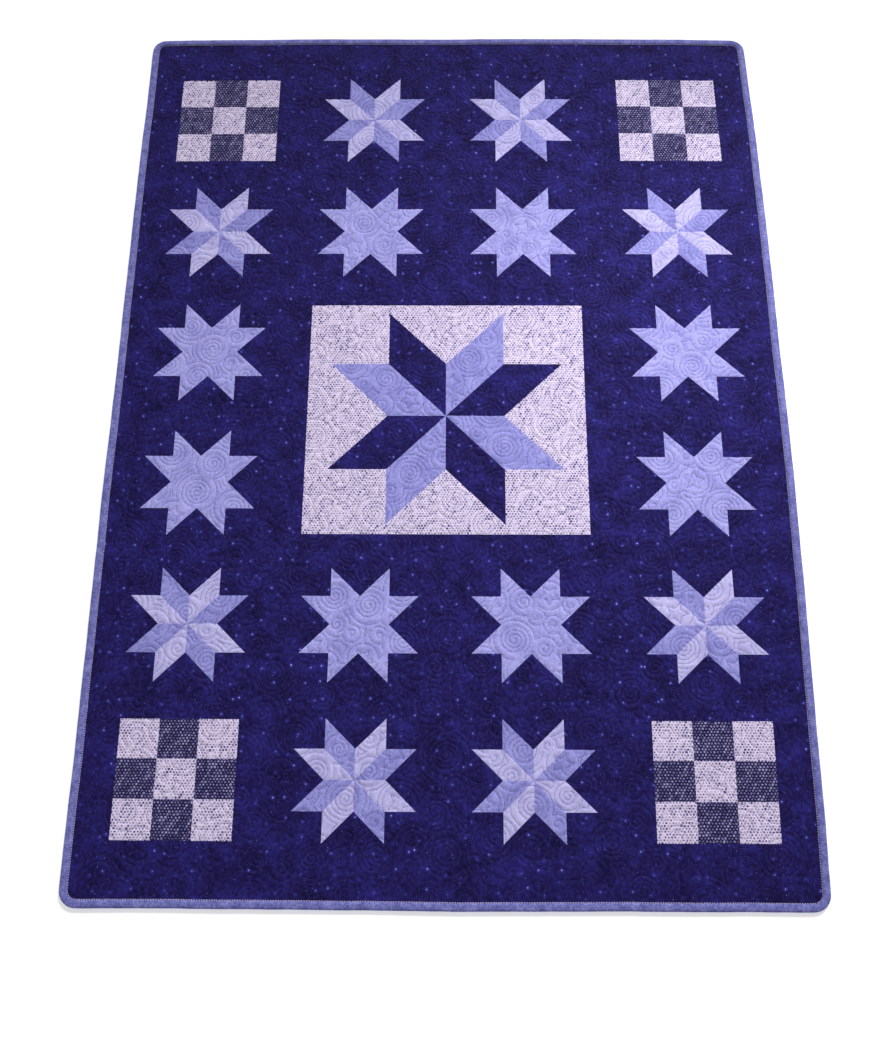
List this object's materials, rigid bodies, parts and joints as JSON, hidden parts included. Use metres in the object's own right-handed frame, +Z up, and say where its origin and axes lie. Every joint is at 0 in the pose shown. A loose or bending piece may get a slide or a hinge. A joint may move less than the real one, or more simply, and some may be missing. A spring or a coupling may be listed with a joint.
{
  "type": "star quilt blanket",
  "caption": "Flat-lying patchwork quilt with a quilted top, a backing cloth, a narrow flange and a folded binding round its rounded edge; a throw or bed cover.",
  "frame": {"origin": "centre of the quilt's outline, on the surface that it lies on", "axes": "+Z up out of the quilt's face, +Y along its length towards its head end, +X across its width"},
  "size_m": [1.524, 2.134, 0.0084],
  "materials": {
    "top_cotton": "pieced quilting cotton, navy ground, matte",
    "backing_cotton": "mottled blue-violet quilting cotton, matte",
    "binding_cotton": "mottled periwinkle quilting cotton, matte",
    "flange_cotton": "pale dotted quilting cotton, matte"
  },
  "bodies": {
    "root": {"quilted_top": "top_cotton", "backing": "backing_cotton", "binding": "binding_cotton", "flange": "flange_cotton"}
  },
  "joints": []
}
